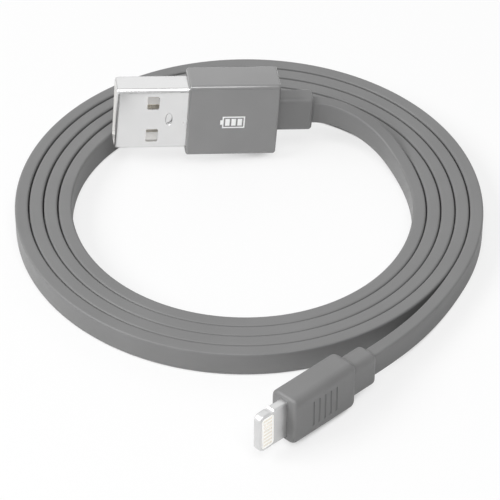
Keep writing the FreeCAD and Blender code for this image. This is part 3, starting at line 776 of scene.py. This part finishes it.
def battery_mark():
    """Generic printed battery sign on the USB plug's marked face."""
    face = USB_BODY[1] / 2
    middle_x, middle_z = MARK_PLACE
    half_x, half_z = MARK_HALF
    hole_x, hole_z = half_x - MARK_LINE, half_z - MARK_LINE

    def patch(low_x, high_x, half_height, depths=MARK_INK):
        low_y, high_y = depths
        return rounded_block((middle_x + low_x, face + low_y, middle_z - half_height),
                             (middle_x + high_x, face + high_y, middle_z + half_height))

    hole = patch(-hole_x, hole_x, hole_z, (-CUT_PAST, CUT_PAST))
    mark = bm_boolean(patch(-half_x, half_x, half_z), [hole])
    nub_length, nub_half = MARK_NUB
    nub = patch(half_x, half_x + nub_length, nub_half)
    bars = [patch(x, x + MARK_BAR_W, half_z - MARK_BAR_MARGIN) for x in MARK_BARS]
    for part in [nub] + bars:
        mesh = bpy.data.meshes.new("mark_part")
        part.to_mesh(mesh)
        part.free()
        mark.from_mesh(mesh)
        bpy.data.meshes.remove(mesh)
    bm_to_object(mark, "usb_printed_mark", USB_PLACE, "usb_plug", "overmold", material="white_ink")


def device_overmold():
    length, thick, wide = DEVICE_BODY
    body = soft_body(-length, 0, thick, wide, *DEVICE_BODY_R)
    half_y, half_z = BLADE[1] / 2 + DEVICE_OPENING_GAP, BLADE[2] / 2 + DEVICE_OPENING_GAP
    opening = rounded_block((-CUT_PAST, -half_y, -half_z), (CUT_PAST, half_y, half_z), BLADE_EDGE_R)
    groove_w, groove_d, groove_h = GRIP_GROOVE
    grooves = []
    for index in range(GRIP_GROOVES):
        x = GRIP_MIDDLE + (index - (GRIP_GROOVES - 1) / 2) * GRIP_PITCH
        grooves.append(rounded_block((x - groove_w / 2, thick / 2 - groove_d, -groove_h / 2),
                                     (x + groove_w / 2, thick, groove_h / 2), GRIP_GROOVE_R, 4))
    body = bm_boolean(body, [opening] + grooves)
    piece = bm_to_object(body, "device_overmold_skin", DEVICE_PLACE, "device_plug", "overmold",
                         material="matte_overmold")
    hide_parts("device_overmold")


def blade_outline():
    """Plan outline of the blade as (x, z), with rounded tip corners."""
    length, _, tall = BLADE
    half = tall / 2
    straight = length - BLADE_TIP_R - BLADE_ROOT
    side = [(BLADE_ROOT + straight * step / BLADE_SIDE_STEPS, half) for step in range(BLADE_SIDE_STEPS)]
    for step in range(BLADE_TIP_STEPS + 1):
        angle = math.pi / 2 * (1 - step / BLADE_TIP_STEPS)
        side.append((length - BLADE_TIP_R * (1 - math.cos(angle)),
                     half - BLADE_TIP_R * (1 - math.sin(angle))))
    return side + [(x, -z) for x, z in reversed(side)]


def inset_outline(points, inset):
    """Outline moved inwards along its own normals."""
    moved = []
    for index, point in enumerate(points):
        before, after = Vector(points[index - 1]), Vector(points[(index + 1) % len(points)])
        along = (after - before).normalized()
        moved.append(Vector(point) + inset * Vector((along.y, -along.x)))
    return moved


def cross_pin(x, z, radius, reach):
    """bmesh of a round pin across the blade, for cutting a latch notch."""
    bm = bmesh.new()
    circle = circle_profile(radius, BLADE_NOTCH_SIDES)
    rings = [[bm.verts.new((x + a, y, z + b)) for a, b in circle] for y in (-reach, reach)]
    join_rings(bm, rings)
    bm.faces.new(rings[0])
    bm.faces.new(rings[-1])
    return bm


def blade():
    """Plated blade with rounded edges and a window through it, and its bracket in the body."""
    outline = blade_outline()
    half = BLADE[1] / 2
    levels = [(depth - half, inset) for depth, inset in rounded_edge(BLADE_EDGE_R, BLADE_EDGE_STEPS)]
    levels += [(-y, inset) for y, inset in reversed(levels)]
    bm = bmesh.new()
    rings = [[bm.verts.new((x, y, z)) for x, z in inset_outline(outline, inset)]
             for y, inset in levels]
    join_rings(bm, rings)
    bm.faces.new(rings[0])
    bm.faces.new(rings[-1])
    low_x, high_x, tall = BLADE_WINDOW
    reach = 2 * BLADE[1]
    window = rounded_block((low_x, -reach, -tall / 2), (high_x, reach, tall / 2), BLADE_WINDOW_R, 6)
    bracket_length, bracket_t, bracket_h = BLADE_BRACKET
    bracket = rounded_block((BLADE_ROOT - bracket_length, -bracket_t / 2, -bracket_h / 2),
                            (BLADE_ROOT + 0.01, bracket_t / 2, bracket_h / 2), BLADE_BRACKET_R, 3)
    slot_t, slot_h = BLADE_SLOT
    slot_rear, slot_front = BLADE_SLOT_ENDS
    slot = rounded_block((slot_rear, -slot_t / 2, -slot_h / 2), (slot_front, slot_t / 2, slot_h / 2))
    radius, notch_x, outside = BLADE_NOTCH
    notches = [cross_pin(notch_x, side * (BLADE[2] / 2 + outside), radius, reach) for side in (-1, 1)]
    frame_mesh = bm_boolean(bm_boolean(bm, [bracket], "UNION"), [window, slot] + notches)
    piece = bm_to_object(frame_mesh, "plug_blade_skin", DEVICE_PLACE, "device_plug", "nickel_plate", 30.0)
    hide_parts("plug_blade_frame")


# ---------- stage ----------

def stage():
    """Floor, world and softboxes."""
    floor_mesh = bpy.data.meshes.new("floor")
    half = FLOOR_HALF
    corners = [(-half, -half, 0), (half, -half, 0), (half, half, 0), (-half, half, 0)]
    floor_mesh.from_pydata(corners, [], [(0, 1, 2, 3)])
    floor = add_object("floor", floor_mesh)
    floor_mesh.materials.append(floor_material())
    floor.location.z = -FLOOR_DROP

    world = bpy.data.worlds.new("studio")
    world.use_nodes = True
    tree = world.node_tree
    background = tree.nodes["Background"]
    background.inputs["Color"].default_value = (1, 1, 1, 1)
    path = tree.nodes.new("ShaderNodeLightPath")
    strength = tree.nodes.new("ShaderNodeMapRange")
    strength.inputs["To Min"].default_value = WORLD_LIGHT
    strength.inputs["To Max"].default_value = WORLD_SHINE
    tree.links.new(path.outputs["Is Glossy Ray"], strength.inputs["Value"])
    tree.links.new(strength.outputs["Result"], background.inputs["Strength"])
    bpy.context.scene.world = world

    for name, (place, size, power) in SOFTBOXES.items():
        softbox(name, place, size, power)


def floor_material():
    """Pale paper; only the camera sees it lit from within, as an overexposed studio table. The glow fades near
    walls and in narrow gaps, a painted shade.
    """
    n = Nodes("floor_paper")
    coords = n.node("ShaderNodeTexCoord").outputs["Object"]
    n.link(n.colours(n.noise(coords, 8.0), grey(0.90), grey(0.92)), n.shader.inputs["Base Color"])
    n.shader.inputs["Roughness"].default_value = 0.9
    n.shader.inputs["Specular IOR Level"].default_value = 0.1
    glow = n.node("ShaderNodeEmission", Strength=FLOOR_GLOW_STRENGTH)
    mix = n.node("ShaderNodeMixShader")
    path = n.node("ShaderNodeLightPath")
    share = n.node("ShaderNodeMath", operation="MULTIPLY")
    # Painted shade: the glow is cut where walls and narrow gaps hem the floor in.
    openness = n.node("ShaderNodeAmbientOcclusion", Distance=FLOOR_REACH)
    open_floor = n.node("ShaderNodeMapRange")
    n.link(openness.outputs["AO"], open_floor.inputs["Value"])
    open_floor.inputs["From Min"].default_value = FLOOR_SHADED[0]
    open_floor.inputs["From Max"].default_value = FLOOR_SHADED[1]
    open_floor.inputs["To Max"].default_value = FLOOR_GLOW
    n.link(path.outputs["Is Camera Ray"], share.inputs[0])
    n.link(open_floor.outputs["Result"], share.inputs[1])
    n.link(share.outputs[0], mix.inputs[0])
    n.link(n.shader.outputs[0], mix.inputs[1])
    n.link(glow.outputs[0], mix.inputs[2])
    n.link(mix.outputs[0], n.tree.nodes["Material Output"].inputs["Surface"])
    return n.material


def softbox(name, place, size, power):
    light = bpy.data.lights.new(name, "AREA")
    light.shape = "RECTANGLE"
    light.size, light.size_y = size
    light.energy = power
    thing = bpy.data.objects.new(name, light)
    bpy.context.scene.collection.objects.link(thing)
    thing.location = place
    thing.rotation_euler = (-Vector(place)).to_track_quat("-Z", "Y").to_euler()


def camera():
    lens = bpy.data.cameras.new("camera")
    lens.lens = LENS
    lens.sensor_width = SENSOR
    lens.clip_start, lens.clip_end = CLIP
    thing = bpy.data.objects.new("camera", lens)
    bpy.context.scene.collection.objects.link(thing)
    thing.location = CAMERA_PLACE
    view = Vector(CAMERA_AIM) - Vector(CAMERA_PLACE)
    thing.rotation_euler = view.to_track_quat("-Z", "Y").to_euler()
    bpy.context.scene.camera = thing
    bpy.context.scene.view_settings.view_transform = "Standard"


paint_cad_nodes()
coil_jacket()
lead_pieces("device", DEVICE_LEAD)
lead_pieces("usb", USB_LEAD)
usb_shell()
usb_overmold()
boot("usb_boot_skin", "usb_boot", USB_BODY[0], USB_BOOT, USB_BOOT_R, USB_PLACE, "usb_plug")
battery_mark()
device_overmold()
blade()
boot("device_boot_skin", "device_boot", DEVICE_BODY[0], DEVICE_BOOT, DEVICE_BOOT_R, DEVICE_PLACE,
     "device_plug")
stage()
camera()
